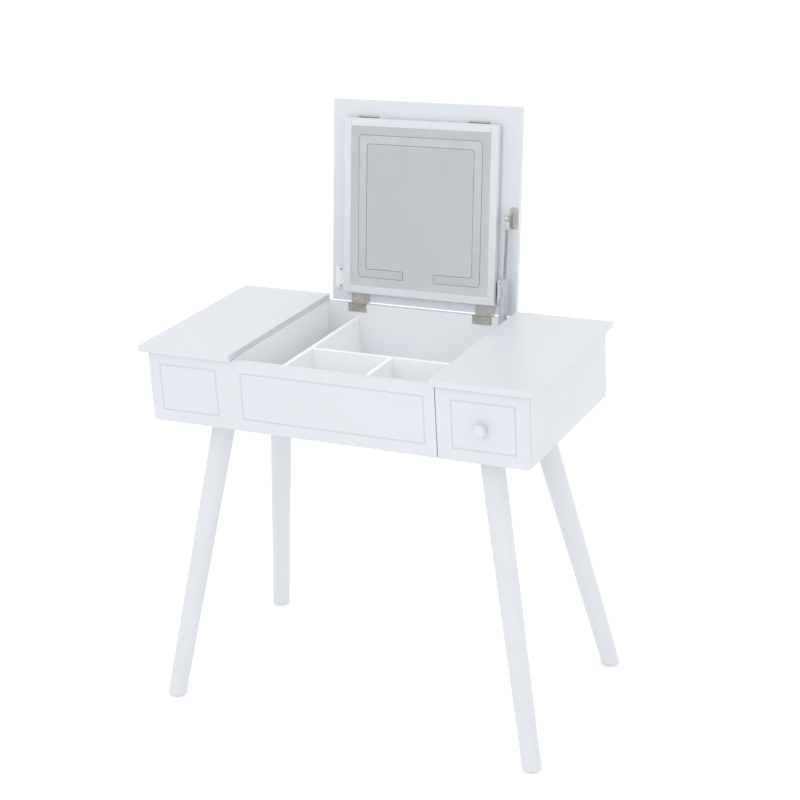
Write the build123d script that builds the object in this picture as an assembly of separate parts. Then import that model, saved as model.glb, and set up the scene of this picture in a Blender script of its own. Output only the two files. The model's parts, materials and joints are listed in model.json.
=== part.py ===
from build123d import *
from math import asin, atan2, cos, degrees, hypot, radians, sin
import os

# A vanity table with a lift-up mirror lid over a divided well, and one drawer.
# Millimetres. X to the right, Y to the back, Z up from the floor.
# Every piece is drawn with X = Y = 0 at the middle of the table tops, and is moved
# along Y when it is written, so that the origin is under the middle of the whole
# table with its lid open.

# ---- Driving dimensions ------------------------------------------------------

table_width = 800.0
table_depth = 400.0
table_height = 735.0

board = 12.0
back_board = 9.0
divider_board = 9.0
edge_round = 1.2

case_height = 138.0
side_overhang = 15.0
front_overhang = 10.0
rear_overhang = 2.0

well_width = 406.0
lid_side_gap = 3.0
lid_rest_gap = 0.5
lid_open_angle = 98.4

divider_top_room = 30.0
left_bay_width = 60.0
cross_divider_back = 189.0
short_divider_from_long = 164.0

groove_width = 3.6
groove_margin = 24.0
side_field_width = 121.0
centre_field_margin = 17.0

front_gap = 1.5
drawer_top_gap = 2.5
drawer_stand_off = 0.5
drawer_length = 350.0
drawer_travel = 250.0
drawer_top_room = 23.0
drawer_floor_gap = 13.0
drawer_board = 9.0
drawer_bottom_board = 3.0
drawer_bottom_inset = 6.0
drawer_groove_depth = 4.0

runner_space = 12.5
runner_sheet = 1.2
runner_flange = 9.0
runner_height = 20.0
runner_bottom = 23.0
front_roller_radius = 6.5
rear_roller_radius = 8.5
roller_width = 5.5
roller_axle_radius = 2.0
roller_end_distance = 12.0
roller_gap = 0.3

knob_radius = 12.5
knob_length = 22.0
knob_dome = 8.0
knob_neck_radius = 6.5
knob_neck_length = 7.0
knob_screw_radius = 2.0

leg_top_radius = 22.5
leg_foot_radius = 17.5
leg_top_inset_x = 109.5
leg_top_inset_y = 84.0
foot_half_width = 384.0
foot_half_depth = 213.0
leg_foot_round = 4.0
leg_bolt_radius = 4.0
leg_bolt_depth = 32.0
glide_radius = 11.0
glide_height = 2.0
leg_plate_size = 76.0
leg_plate_sheet = 2.5
plate_screw_pitch = 60.0

hinge_half_spacing = 135.5
hinge_width = 40.0
hinge_leaf = 15.0
hinge_sheet = 1.5
hinge_knuckle_radius = 2.75
hinge_pin_radius = 1.25
hinge_pin_behind_lid = 2.5
hinge_flange_gap = 0.5
hinge_notch_gap = 0.5
hinge_screw_half_pitch = 13.0
knuckle_gap = 0.3

mirror_offset = -3.5
mirror_width = 328.0
mirror_height = 346.0
mirror_from_hinge_edge = 20.0
mirror_rail = 15.0
mirror_frame_thickness = 14.0
mirror_back_gap = 2.0
mirror_rebate = 6.0
mirror_lip = 1.5
glass_thickness = 4.0
light_guide_thickness = 3.0
led_strip_thickness = 1.5
backing_thickness = 3.0
glazing_gap = 0.5
touch_board_width = 40.0
touch_board_height = 16.0
touch_board_thickness = 1.6
touch_from_glass_edge = 57.0

mirror_hinge_half_spacing = 118.0
mirror_hinge_width = 42.0
mirror_hinge_leaf = 17.0
mirror_hinge_sheet = 0.9
mirror_knuckle_radius = 1.9
mirror_pin_radius = 0.9

catch_width = 20.0
catch_height = 44.0
catch_thickness = 8.0
catch_gap = 2.0
catch_from_hinge_edge = 25.0
catch_screw_inset = 7.0
strike_thickness = 1.0
strike_height = 30.0
strike_width = 8.0

strut_x = 183.0
strut_lid_distance = 190.0
strut_lid_depth = 14.0
strut_case_from_back = 22.0
strut_case_above_floor = 63.0
strut_tube_radius = 7.5
strut_tube_wall = 1.3
strut_rod_radius = 3.0
strut_eye_radius = 5.5
strut_eye_width = 7.0
strut_tube_fitting = 16.0
strut_rod_fitting = 20.0
strut_pin_radius = 2.5
strut_bracket_sheet = 1.5
strut_bracket_width = 17.0
strut_bracket_height = 41.0
strut_bracket_screw_half_pitch = 15.5
strut_end_gap = 0.3

screw_radius = 1.6
screw_head_radius = 3.0
screw_head_height = 1.2
screw_length = 8.0
plate_screw_radius = 2.0
plate_screw_head_radius = 4.0
plate_screw_length = 10.0
dowel_radius = 3.0
dowel_half_length = 8.0
dowel_y = 120.0

fastener_gap = 0.05
running_gap = 0.05

# ---- Places that follow from them --------------------------------------------

under_top = table_height - board
case_bottom = under_top - case_height
case_side = table_width / 2 - side_overhang
case_front = front_overhang - table_depth / 2
case_rear = table_depth / 2 - rear_overhang
inner_front = case_front + board
inner_rear = case_rear - back_board
floor_top = case_bottom + board
inner_side = case_side - board
well_side = well_width / 2
bay_inner = well_side + board

lid_half_width = well_side - lid_side_gap
lid_rear = table_depth / 2
hinge_pin_y = lid_rear + hinge_pin_behind_lid
hinge_pin_z = under_top - hinge_knuckle_radius
back_notch_top = under_top - 2 * hinge_sheet - hinge_flange_gap

front_split = well_side + (board + front_gap) / 2
drawer_left = front_split + front_gap / 2
drawer_middle = (drawer_left + case_side) / 2
front_panel_right = front_split - front_gap / 2
field_bottom = case_bottom + groove_margin
field_top = under_top - groove_margin

long_divider_left = left_bay_width - well_side
long_divider_right = long_divider_left + divider_board
cross_divider_rear = inner_rear - cross_divider_back
cross_divider_front = cross_divider_rear - divider_board
short_divider_left = long_divider_right + short_divider_from_long
divider_top = under_top - divider_top_room


# ---- Small building helpers --------------------------------------------------


def block(x0, x1, y0, y1, z0, z1):
    """A box between two corners."""
    middle = Pos((x0 + x1) / 2, (y0 + y1) / 2, (z0 + z1) / 2)
    return middle * Box(x1 - x0, y1 - y0, z1 - z0)


def eased(solid, radius=edge_round):
    """The same board with its edges rounded over."""
    return fillet(solid.edges(), radius)


def rod_along(point, direction, radius, start, end):
    """A round bar on a line through point, from start to end along it."""
    frame = Plane(origin=point, z_dir=direction)
    middle = frame * Pos(0, 0, (start + end) / 2)
    return middle * Cylinder(radius, end - start)


def bar_x(radius, x0, x1, y, z):
    """A round bar along X."""
    return rod_along((x0, y, z), (1, 0, 0), radius, 0, x1 - x0)


def screw(point, into, radius, head_radius, length):
    """A pan-head screw whose head sits on point and whose shank goes into the work."""
    head = rod_along(point, into, head_radius, -screw_head_height, 0)
    slot_frame = Plane(origin=point, z_dir=into)
    slot_depth = screw_head_height / 2
    slot_middle = slot_frame * Pos(0, 0, -screw_head_height + slot_depth / 2)
    slot = slot_middle * Box(head_radius * 1.5, head_radius / 4, slot_depth)
    cross_slot = slot_middle * Box(head_radius / 4, head_radius * 1.5, slot_depth)
    shank = rod_along(point, into, radius, 0, length)
    return head + shank - slot - cross_slot


def screw_hole(point, into, radius, length):
    """The hole that a screw's shank needs, a little longer and wider than it is."""
    return rod_along(point, into, radius + fastener_gap, -1, length + 0.5)


def flush_screw(point, into, gap=0.0):
    """A countersunk screw with its head level with point, or with a gap its hole."""
    depth = screw_head_radius - screw_radius
    head = Cone(screw_head_radius + gap, screw_radius + gap, depth)
    body = Plane(origin=point, z_dir=into) * Pos(0, 0, depth / 2) * head
    body += rod_along(point, into, screw_radius + gap, depth / 2, screw_length + 10 * gap)
    if gap:
        return body
    slot = Box(screw_head_radius * 1.5, screw_head_radius / 4, screw_head_height)
    return body - Plane(origin=point, z_dir=into) * slot


def screws_at(sites, radius=screw_radius, head_radius=screw_head_radius, length=screw_length):
    """One screw at each (point, into) site."""
    return [screw(point, into, radius, head_radius, length) for point, into in sites]


def holes_at(sites, radius=screw_radius, length=screw_length):
    """One hole at each (point, into) site."""
    return [screw_hole(point, into, radius, length) for point, into in sites]


def knuckles(centre_x, width, count, owned, radius, bore, y, z):
    """The owned knuckles of a hinge along X, bored for its pin."""
    pitch = width / count
    left = centre_x - width / 2
    pieces = []
    for index in owned:
        x0 = left + index * pitch + knuckle_gap / 2
        x1 = left + (index + 1) * pitch - knuckle_gap / 2
        pieces.append(bar_x(radius, x0, x1, y, z) - bar_x(bore, x0 - 1, x1 + 1, y, z))
    return pieces


def knuckle_reliefs(centre_x, width, count, owned, radius, y, z):
    """The room that the other leaf's knuckles need in a leaf."""
    pitch = width / count
    left = centre_x - width / 2
    reach = radius + knuckle_gap
    pieces = []
    for index in owned:
        x0 = left + index * pitch - knuckle_gap / 2
        x1 = left + (index + 1) * pitch + knuckle_gap / 2
        pieces.append(block(x0, x1, y - reach, y + reach, z - reach, z + reach))
    return pieces


# ---- Dowels that locate the boards -------------------------------------------


def dowel_sites():
    """The middle and direction of every dowel, at the joint between two boards."""
    sites = []
    for side in (-1, 1):
        partition_x = side * (well_side + board / 2)
        side_x = side * (inner_side + board / 2)
        for y in (-dowel_y, dowel_y):
            sites.append(((partition_x, y, under_top), (0, 0, 1)))
            sites.append(((side_x, y, under_top), (0, 0, 1)))
            sites.append(((partition_x, y, floor_top), (0, 0, 1)))
            sites.append(((side * inner_side, y, case_bottom + board / 2), (side, 0, 0)))
    return sites


def dowels():
    return [rod_along(p, d, dowel_radius, -dowel_half_length, dowel_half_length) for p, d in dowel_sites()]


def dowel_holes():
    half = dowel_half_length + fastener_gap
    return [rod_along(p, d, dowel_radius + fastener_gap, -half, half) for p, d in dowel_sites()]


# ---- Case --------------------------------------------------------------------


def table_top(side):
    """One of the two fixed tops, left (-1) or right (+1) of the well."""
    inner, outer = side * well_side, side * table_width / 2
    x0, x1 = sorted((inner, outer))
    top = block(x0, x1, -table_depth / 2, table_depth / 2, under_top, table_height)
    return eased(top) - dowel_holes()


def upright(side, inner_x, bottom):
    """A vertical board that runs from front to back, side or partition."""
    x0, x1 = sorted((side * inner_x, side * (inner_x + board)))
    return block(x0, x1, inner_front, inner_rear, bottom, under_top) - dowel_holes()


def field_groove(x0, x1, z0, z1, face_y):
    """A V groove round a rectangular field, in a face that looks to the front."""
    face = Plane(origin=((x0 + x1) / 2, face_y, (z0 + z1) / 2), x_dir=(1, 0, 0), z_dir=(0, 1, 0))
    wide, tall, half = x1 - x0, z1 - z0, groove_width / 2
    outer = extrude(face * Rectangle(wide + groove_width, tall + groove_width), amount=half, taper=45)
    inner = extrude(face * Rectangle(wide - groove_width, tall - groove_width), amount=half, taper=-45)
    return outer - inner


def front_panel():
    """One board across the left end and the well, with two grooved fields."""
    top = under_top - lid_rest_gap
    panel = eased(block(-case_side, front_panel_right, case_front, inner_front, case_bottom, top))
    side_start = -case_side + groove_margin
    panel -= field_groove(side_start, side_start + side_field_width, field_bottom, field_top, case_front)
    centre = well_side - centre_field_margin
    return panel - field_groove(-centre, centre, field_bottom, field_top, case_front)


def back_panel():
    """The back board, just clear of the lid and notched for each hinge's flange."""
    panel = block(-case_side, case_side, inner_rear, case_rear, case_bottom, under_top)
    front, rear, above = inner_rear - 1, case_rear + 1, under_top + 1
    panel -= block(-lid_half_width, lid_half_width, front, rear, under_top - lid_rest_gap, above)
    half = hinge_width / 2 + hinge_notch_gap
    for centre in hinge_centres:
        panel -= block(centre - half, centre + half, front, rear, back_notch_top, above)
    return panel - holes_at(case_hinge_screw_sites())


def bottom_panel():
    panel = block(-inner_side, inner_side, inner_front, inner_rear, case_bottom, floor_top)
    holes = holes_at(leg_plate_screw_sites(), plate_screw_radius, plate_screw_length)
    return panel - dowel_holes() - holes


def left_partition():
    return upright(-1, well_side, floor_top)


def right_partition():
    return upright(1, well_side, floor_top) - holes_at(strut_case_screw_sites())


def long_divider():
    return block(long_divider_left, long_divider_right, inner_front, inner_rear, floor_top, divider_top)


def cross_divider():
    return block(
        long_divider_right, well_side, cross_divider_front, cross_divider_rear, floor_top, divider_top
    )


def short_divider():
    x1 = short_divider_left + divider_board
    return block(short_divider_left, x1, inner_front, cross_divider_front, floor_top, divider_top)


# ---- Legs --------------------------------------------------------------------

leg_corners = {
    "front_left_leg": (-1, -1),
    "front_right_leg": (1, -1),
    "back_left_leg": (-1, 1),
    "back_right_leg": (1, 1),
}
leg_head_x = case_side - leg_top_inset_x
leg_head_y = -case_front - leg_top_inset_y
leg_length = hypot(foot_half_width - leg_head_x, foot_half_depth - leg_head_y, case_bottom)


def leg_line(side, end):
    """A leg's head on the case's underside, and the direction that it runs down in."""
    head = Vector(side * leg_head_x, end * leg_head_y, case_bottom)
    foot = Vector(side * foot_half_width, end * foot_half_depth, 0)
    return head, (foot - head).normalized()


def leg(side, end):
    """A round tapered leg, cut level under its plate and above its glide."""
    head, down = leg_line(side, end)
    spare = leg_top_radius
    flare = (leg_top_radius - leg_foot_radius) / leg_length * spare
    frame = Plane(origin=head, z_dir=down)
    body = Cone(leg_top_radius + flare, leg_foot_radius - flare, leg_length + 2 * spare)
    body = frame * Pos(0, 0, leg_length / 2) * body
    reach = foot_half_width + 4 * spare
    body -= block(-reach, reach, -reach, reach, case_bottom - leg_plate_sheet, case_bottom + 2 * spare)
    body -= block(-reach, reach, -reach, reach, -2 * spare, glide_height)
    body = fillet(body.edges().group_by(Axis.Z)[0], leg_foot_round)
    bore = leg_bolt_radius + fastener_gap
    return body - rod_along(head, down, bore, 0, leg_bolt_depth + 0.5)


def foot_glides():
    """A round pad stuck under each leg."""
    sites = [(side * foot_half_width, end * foot_half_depth) for side, end in leg_corners.values()]
    return [Pos(x, y, glide_height / 2) * Cylinder(glide_radius, glide_height) for x, y in sites]


def leg_plate(side, end):
    """A pressed steel plate with a tilted thread for the leg's bolt."""
    head, down = leg_line(side, end)
    half = leg_plate_size / 2
    low = case_bottom - leg_plate_sheet
    plate = block(head.X - half, head.X + half, head.Y - half, head.Y + half, low, case_bottom)
    plate = fillet(plate.edges().filter_by(Axis.Z), half / 6)
    bore = leg_bolt_radius + fastener_gap
    return plate - rod_along(head, down, bore, -leg_plate_size, leg_plate_size)


def leg_plates():
    holes = holes_at(leg_plate_screw_sites(), plate_screw_radius, plate_screw_length)
    return [leg_plate(side, end) - holes for side, end in leg_corners.values()]


def leg_bolts():
    """A stud in each leg that turns into its plate."""
    bolts = []
    for side, end in leg_corners.values():
        head, down = leg_line(side, end)
        bolts.append(rod_along(head, down, leg_bolt_radius, leg_plate_sheet, leg_bolt_depth))
    return bolts


def leg_plate_screw_sites():
    sites = []
    half = plate_screw_pitch / 2
    for side, end in leg_corners.values():
        head, down = leg_line(side, end)
        for dx in (-half, half):
            for dy in (-half, half):
                point = (head.X + dx, head.Y + dy, case_bottom - leg_plate_sheet)
                sites.append((point, (0, 0, 1)))
    return sites


# ---- Lid and its hinges, drawn closed ----------------------------------------

hinge_centres = (-hinge_half_spacing, hinge_half_spacing)
case_knuckles = (0, 2, 4)
lid_knuckles = (1, 3)
knuckle_count = 5


def lid_y(distance):
    """Y of a line on the closed lid, from its distance to the hinge edge."""
    return lid_rear - distance


def lid_z(depth):
    """Z of a level under the closed lid, from its depth below the underside."""
    return under_top - depth


def lid_block(x0, x1, near, far, shallow, deep):
    """A box under the closed lid, by distance from the hinge edge and depth below it."""
    return block(x0, x1, lid_y(far), lid_y(near), lid_z(deep), lid_z(shallow))


def opened(y, z):
    """Where a point of the closed lid goes when the lid is open."""
    turn = radians(-lid_open_angle)
    dy, dz = y - hinge_pin_y, z - hinge_pin_z
    return hinge_pin_y + dy * cos(turn) - dz * sin(turn), hinge_pin_z + dy * sin(turn) + dz * cos(turn)


at_pin = Pos(0, hinge_pin_y, hinge_pin_z)
open_lid = at_pin * Rot(-lid_open_angle, 0, 0) * at_pin.inverse()


def screw_columns(centres):
    """X of the two screws beside the middle of each hinge."""
    offsets = (-hinge_screw_half_pitch, hinge_screw_half_pitch)
    return [centre + offset for centre in centres for offset in offsets]


def lid_hinge_screw_sites():
    y = lid_y(hinge_leaf / 2 - 1)
    return [((x, y, under_top - hinge_sheet), (0, 0, 1)) for x in screw_columns(hinge_centres)]


def case_hinge_screw_sites():
    z = back_notch_top + hinge_sheet - hinge_leaf / 2 - 1
    return [((x, inner_rear - hinge_sheet, z), (0, 1, 0)) for x in screw_columns(hinge_centres)]


def lid_hinge_screws(gap=0.0):
    """The hinge screws in the lid, flush so that the two leaves can close together."""
    return [flush_screw(point, into, gap) for point, into in lid_hinge_screw_sites()]


def lid_panel():
    lid = block(-lid_half_width, lid_half_width, -table_depth / 2, lid_rear, under_top, table_height)
    lid = eased(lid) - lid_hinge_screws(fastener_gap) - holes_at(strut_lid_screw_sites())
    return lid - holes_at(catch_screw_sites(), length=catch_screw_length)


def hinge_lid_leaf(centre):
    """The flat leaf on the lid's underside."""
    x0, x1 = centre - hinge_width / 2, centre + hinge_width / 2
    leaf = block(x0, x1, lid_y(hinge_leaf), hinge_pin_y, under_top - hinge_sheet, under_top)
    place = (hinge_knuckle_radius, hinge_pin_y, hinge_pin_z)
    leaf -= knuckle_reliefs(centre, hinge_width, knuckle_count, case_knuckles, *place)
    bore = hinge_pin_radius + running_gap
    radius, y, z = place
    leaf += knuckles(centre, hinge_width, knuckle_count, lid_knuckles, radius, bore, y, z)
    leaf -= bar_x(bore, x0 - 1, x1 + 1, y, z)
    return leaf - lid_hinge_screws(fastener_gap)


def hinge_case_leaf(centre):
    """The cranked leaf: down the back board's inner face and over its top edge."""
    x0, x1 = centre - hinge_width / 2, centre + hinge_width / 2
    top = back_notch_top + hinge_sheet
    leaf = block(x0, x1, inner_rear - hinge_sheet, inner_rear, top - hinge_leaf, top)
    leaf += block(x0, x1, inner_rear - hinge_sheet, hinge_pin_y, back_notch_top, top)
    place = (hinge_knuckle_radius, hinge_pin_y, hinge_pin_z)
    leaf -= knuckle_reliefs(centre, hinge_width, knuckle_count, lid_knuckles, *place)
    bore = hinge_pin_radius + fastener_gap
    radius, y, z = place
    leaf += knuckles(centre, hinge_width, knuckle_count, case_knuckles, radius, bore, y, z)
    leaf -= bar_x(bore, x0 - 1, x1 + 1, y, z)
    return leaf - holes_at(case_hinge_screw_sites())


def hinge_pins():
    half = hinge_width / 2
    return [bar_x(hinge_pin_radius, c - half, c + half, hinge_pin_y, hinge_pin_z) for c in hinge_centres]


# ---- Mirror, drawn under the closed lid --------------------------------------

mirror_left = mirror_offset - mirror_width / 2
mirror_right = mirror_offset + mirror_width / 2
mirror_near = mirror_from_hinge_edge
mirror_far = mirror_near + mirror_height
frame_back = mirror_back_gap
frame_face = frame_back + mirror_frame_thickness
glass_face = frame_face - mirror_lip
glass_back = glass_face - glass_thickness
light_guide_back = glass_back - light_guide_thickness
backing_back = light_guide_back - backing_thickness
rebate_inset = mirror_rail - mirror_rebate
mirror_hinge_centres = [mirror_offset + s * mirror_hinge_half_spacing for s in (-1, 1)]
mirror_pin_distance = mirror_far + mirror_knuckle_radius + knuckle_gap
mirror_pin_depth = mirror_knuckle_radius


def mirror_layer(inset, shallow, deep):
    """A rectangle of the mirror, inset all round from the frame's outside."""
    return lid_block(
        mirror_left + inset, mirror_right - inset, mirror_near + inset, mirror_far - inset, shallow, deep
    )


def mirror_rail_piece(x0, x1, near, far):
    """One member of the frame, rebated from behind for what the frame holds."""
    rebate = mirror_layer(rebate_inset, frame_back - 1, glass_face)
    sight = mirror_layer(mirror_rail, frame_back - 1, frame_face + 1)
    member = eased(lid_block(x0, x1, near, far, frame_back, frame_face), edge_round / 2)
    return member - rebate - sight


def mirror_stile(side):
    x0 = mirror_left if side < 0 else mirror_right - mirror_rail
    return mirror_rail_piece(x0, x0 + mirror_rail, mirror_near, mirror_far)


def mirror_cross_rail(near):
    x0, x1 = mirror_left + mirror_rail, mirror_right - mirror_rail
    return mirror_rail_piece(x0, x1, near, near + mirror_rail)


def led_strip():
    """The strip of lamps round the light guide's edge."""
    inset = rebate_inset + glazing_gap
    outside = mirror_layer(inset, light_guide_back, glass_back)
    return outside - mirror_layer(inset + led_strip_thickness, light_guide_back - 1, glass_back + 1)


def touch_board():
    """The small circuit behind the touch mark, on the back of the backing board."""
    x0, x1 = mirror_offset - touch_board_width / 2, mirror_offset + touch_board_width / 2
    near = mirror_near + touch_from_glass_edge
    far = near + touch_board_height
    return lid_block(x0, x1, near, far, backing_back - touch_board_thickness, backing_back)


def mirror_leaf(centre, shallow, owned, others, bore_gap):
    """One leaf of a mirror hinge, with its knuckles beyond the frame's far edge."""
    near, far = mirror_far - mirror_hinge_leaf, mirror_pin_distance
    x0, x1 = centre - mirror_hinge_width / 2, centre + mirror_hinge_width / 2
    y, z = lid_y(mirror_pin_distance), lid_z(mirror_pin_depth)
    leaf = lid_block(x0, x1, near, far, shallow, shallow + mirror_hinge_sheet)
    leaf -= knuckle_reliefs(centre, mirror_hinge_width, knuckle_count, others, mirror_knuckle_radius, y, z)
    bore = mirror_pin_radius + bore_gap
    leaf += knuckles(centre, mirror_hinge_width, knuckle_count, owned, mirror_knuckle_radius, bore, y, z)
    return leaf - bar_x(bore, x0 - 1, x1 + 1, y, z)


def mirror_hinge_lid_leaves():
    hold = (0, case_knuckles, lid_knuckles, fastener_gap)
    return [mirror_leaf(centre, *hold) for centre in mirror_hinge_centres]


def mirror_hinge_frame_leaves():
    hold = (frame_back - mirror_hinge_sheet, lid_knuckles, case_knuckles, running_gap)
    return [mirror_leaf(centre, *hold) for centre in mirror_hinge_centres]


def mirror_hinge_pins():
    half = mirror_hinge_width / 2
    y, z = lid_y(mirror_pin_distance), lid_z(mirror_pin_depth)
    return [bar_x(mirror_pin_radius, c - half, c + half, y, z) for c in mirror_hinge_centres]


def catch_edges(side):
    """The catch's inner and outer X, beside the mirror frame."""
    frame_edge = mirror_left if side < 0 else mirror_right
    inner = frame_edge + side * catch_gap
    return inner, inner + side * catch_width


def catch_screw_sites():
    sites = []
    for side in (-1, 1):
        inner, outer = catch_edges(side)
        x = inner + side * catch_screw_inset
        for share in (0.12, 0.88):
            distance = catch_from_hinge_edge + share * catch_height
            sites.append(((x, lid_y(distance), lid_z(catch_thickness)), (0, 0, 1)))
    return sites


def catch_bodies():
    pieces = []
    for side in (-1, 1):
        x0, x1 = sorted(catch_edges(side))
        near = catch_from_hinge_edge
        body = eased(lid_block(x0, x1, near, near + catch_height, 0, catch_thickness), edge_round)
        pieces.append(body - holes_at(catch_screw_sites(), length=catch_screw_length))
    return pieces


catch_screw_length = catch_thickness + screw_length


def strike_plates():
    """A steel plate on each side of the frame, that the catch pulls on."""
    pieces = []
    middle = catch_from_hinge_edge + catch_height / 2
    depth = frame_back + mirror_frame_thickness / 2
    for side in (-1, 1):
        edge = mirror_left if side < 0 else mirror_right
        x0, x1 = sorted((edge, edge + side * strike_thickness))
        near, far = middle - strike_height / 2, middle + strike_height / 2
        pieces.append(lid_block(x0, x1, near, far, depth - strike_width / 2, depth + strike_width / 2))
    return pieces


# ---- Gas strut ---------------------------------------------------------------

strut_case_y = inner_rear - strut_case_from_back
strut_case_z = floor_top + strut_case_above_floor
strut_closed_y = lid_y(strut_lid_distance)
strut_closed_z = lid_z(strut_lid_depth)
strut_open_y, strut_open_z = opened(strut_closed_y, strut_closed_z)
strut_open_length = hypot(strut_open_y - strut_case_y, strut_open_z - strut_case_z)
strut_closed_length = hypot(strut_closed_y - strut_case_y, strut_closed_z - strut_case_z)
strut_stroke = strut_open_length - strut_closed_length
strut_open_slope = degrees(atan2(strut_open_z - strut_case_z, strut_open_y - strut_case_y))
strut_closed_slope = degrees(atan2(strut_closed_z - strut_case_z, strut_closed_y - strut_case_y))
# how far the strut turns against the lid while the lid closes
strut_turn = strut_closed_slope - strut_open_slope - lid_open_angle
strut_tube_end = strut_closed_length - strut_rod_fitting - 1
strut_piston = 5.0
strut_axis = Plane(
    origin=(strut_x, strut_case_y, strut_case_z),
    x_dir=(1, 0, 0),
    z_dir=(0, strut_open_y - strut_case_y, strut_open_z - strut_case_z),
)
strut_ear_x = strut_x + strut_eye_width / 2 + strut_end_gap


def strut_bar(radius, start, end):
    """A round bar on the strut's axis, measured from its lower pivot."""
    return strut_axis * Pos(0, 0, (start + end) / 2) * Cylinder(radius, end - start)


def strut_eye(distance, radius, bore=0.0):
    """A flat round end across the strut's axis."""
    place = strut_axis * Pos(0, 0, distance) * Rot(0, 90, 0)
    eye = place * Cylinder(radius, strut_eye_width)
    if bore:
        eye -= place * Cylinder(bore, strut_eye_width + 1)
    return eye


def strut_tube():
    """The cylinder, hollow, with a collar that the rod runs through."""
    tube = strut_bar(strut_tube_radius, strut_tube_fitting, strut_tube_end)
    tube = fillet(tube.edges(), edge_round)
    inside = strut_tube_radius - strut_tube_wall
    collar = 3.0
    tube -= strut_bar(inside, strut_tube_fitting + collar, strut_tube_end - collar)
    return tube - strut_bar(strut_rod_radius + running_gap, strut_tube_end - collar - 1, strut_tube_end + 1)


def strut_tube_end_fitting():
    return strut_eye(0, strut_eye_radius) + strut_bar(strut_rod_radius, 0, strut_tube_fitting)


def strut_rod():
    """The rod with the piston on its inner end."""
    piston_top = strut_tube_end - strut_piston
    piston_radius = strut_tube_radius - strut_tube_wall - 2 * running_gap
    rod = strut_bar(strut_rod_radius, piston_top, strut_open_length - strut_rod_fitting)
    return rod + strut_bar(piston_radius, piston_top - strut_piston, piston_top)


def strut_rod_end_fitting():
    eye = strut_eye(strut_open_length, strut_eye_radius + 0.5)
    shank = strut_bar(strut_eye_width / 2, strut_open_length - strut_rod_fitting, strut_open_length)
    bore = strut_axis * Pos(0, 0, strut_open_length) * Rot(0, 90, 0)
    return eye + shank - bore * Cylinder(strut_pin_radius + running_gap, 2 * strut_eye_width)


def strut_lid_screw_sites():
    x = strut_ear_x + strut_bracket_width / 2
    half = strut_bracket_screw_half_pitch
    ys = (lid_y(strut_lid_distance - half), lid_y(strut_lid_distance + half))
    return [((x, y, lid_z(strut_bracket_sheet)), (0, 0, 1)) for y in ys]


def strut_lid_bracket():
    """A pressed plate on the lid with a turned-out ear that carries the pin."""
    x0 = strut_ear_x + strut_bracket_sheet - strut_bracket_width / 3
    x1 = x0 + strut_bracket_width
    near = strut_lid_distance - strut_bracket_height / 2
    far = near + strut_bracket_height
    plate = lid_block(x0, x1, near, far, 0, strut_bracket_sheet)
    plate = fillet(plate.edges().filter_by(Axis.Z), strut_bracket_width / 4)
    slot_x = strut_ear_x + strut_bracket_sheet
    slot_half = strut_bracket_height / 4
    plate -= lid_block(
        slot_x, slot_x + 3, strut_lid_distance - slot_half, strut_lid_distance + slot_half, -1, 3
    )
    ear_plane = Plane(origin=(strut_ear_x, strut_closed_y, under_top), x_dir=(0, 1, 0), z_dir=(1, 0, 0))
    tip = strut_pin_radius + 2.5
    outline = Polygon(
        (-slot_half, 0), (slot_half, 0), (tip, -strut_lid_depth), (-tip, -strut_lid_depth), align=None
    )
    outline += Pos(0, -strut_lid_depth) * Circle(tip)
    ear = extrude(ear_plane * outline, amount=strut_bracket_sheet, dir=(1, 0, 0))
    pin_start = strut_x - strut_eye_width / 2 - strut_end_gap
    head_start = pin_start - 2.5
    pin = bar_x(strut_pin_radius, head_start, strut_ear_x, strut_closed_y, strut_closed_z)
    head = bar_x(strut_pin_radius + 1, head_start, pin_start, strut_closed_y, strut_closed_z)
    bracket = plate + ear + pin + head
    return bracket - holes_at(strut_lid_screw_sites())


def strut_case_screw_sites():
    ys = (strut_case_y - 9, strut_case_y + 5)
    zs = (strut_case_z + 14, strut_case_z - 14)
    face = well_side - strut_bracket_sheet
    return [((face, y, z), (1, 0, 0)) for y, z in zip(ys, zs)]


def strut_case_bracket():
    """A plate on the partition with a stud that ends just short of the strut's eye."""
    face = well_side - strut_bracket_sheet
    y, z = strut_case_y, strut_case_z
    plate = block(face, well_side, y - 14, y + 10, z - 19, z + 19)
    plate = fillet(plate.edges().filter_by(Axis.X), 4)
    stud_end = strut_x + strut_eye_width / 2 + strut_end_gap
    stud = bar_x(strut_pin_radius, stud_end, face, y, z)
    collar = bar_x(strut_pin_radius + 2, face - 4, face, y, z)
    return plate + stud + collar - holes_at(strut_case_screw_sites())


def case_screw_sites():
    """The screws that hold the metal fittings to the case."""
    return case_hinge_screw_sites() + strut_case_screw_sites()


# ---- Drawer and its runners --------------------------------------------------

drawer_outer_left = bay_inner + runner_space
drawer_outer_right = inner_side - runner_space
drawer_front_y = inner_front - drawer_stand_off
drawer_back_y = drawer_front_y + drawer_length
drawer_side_bottom = floor_top + drawer_floor_gap
drawer_side_top = under_top - drawer_top_room
drawer_floor_z = drawer_side_bottom + drawer_bottom_inset
drawer_floor_top = drawer_floor_z + drawer_bottom_board
runner_base = floor_top + runner_bottom
runner_top = runner_base + runner_height
drawer_flange_bottom = runner_top + 1.0
front_roller_y = inner_front + roller_end_distance
rear_roller_y = drawer_back_y - roller_end_distance
front_roller_z = drawer_flange_bottom - roller_gap - front_roller_radius
rear_roller_z = runner_base + runner_height / 2
knob_z = (case_bottom + under_top - drawer_top_gap) / 2


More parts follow.
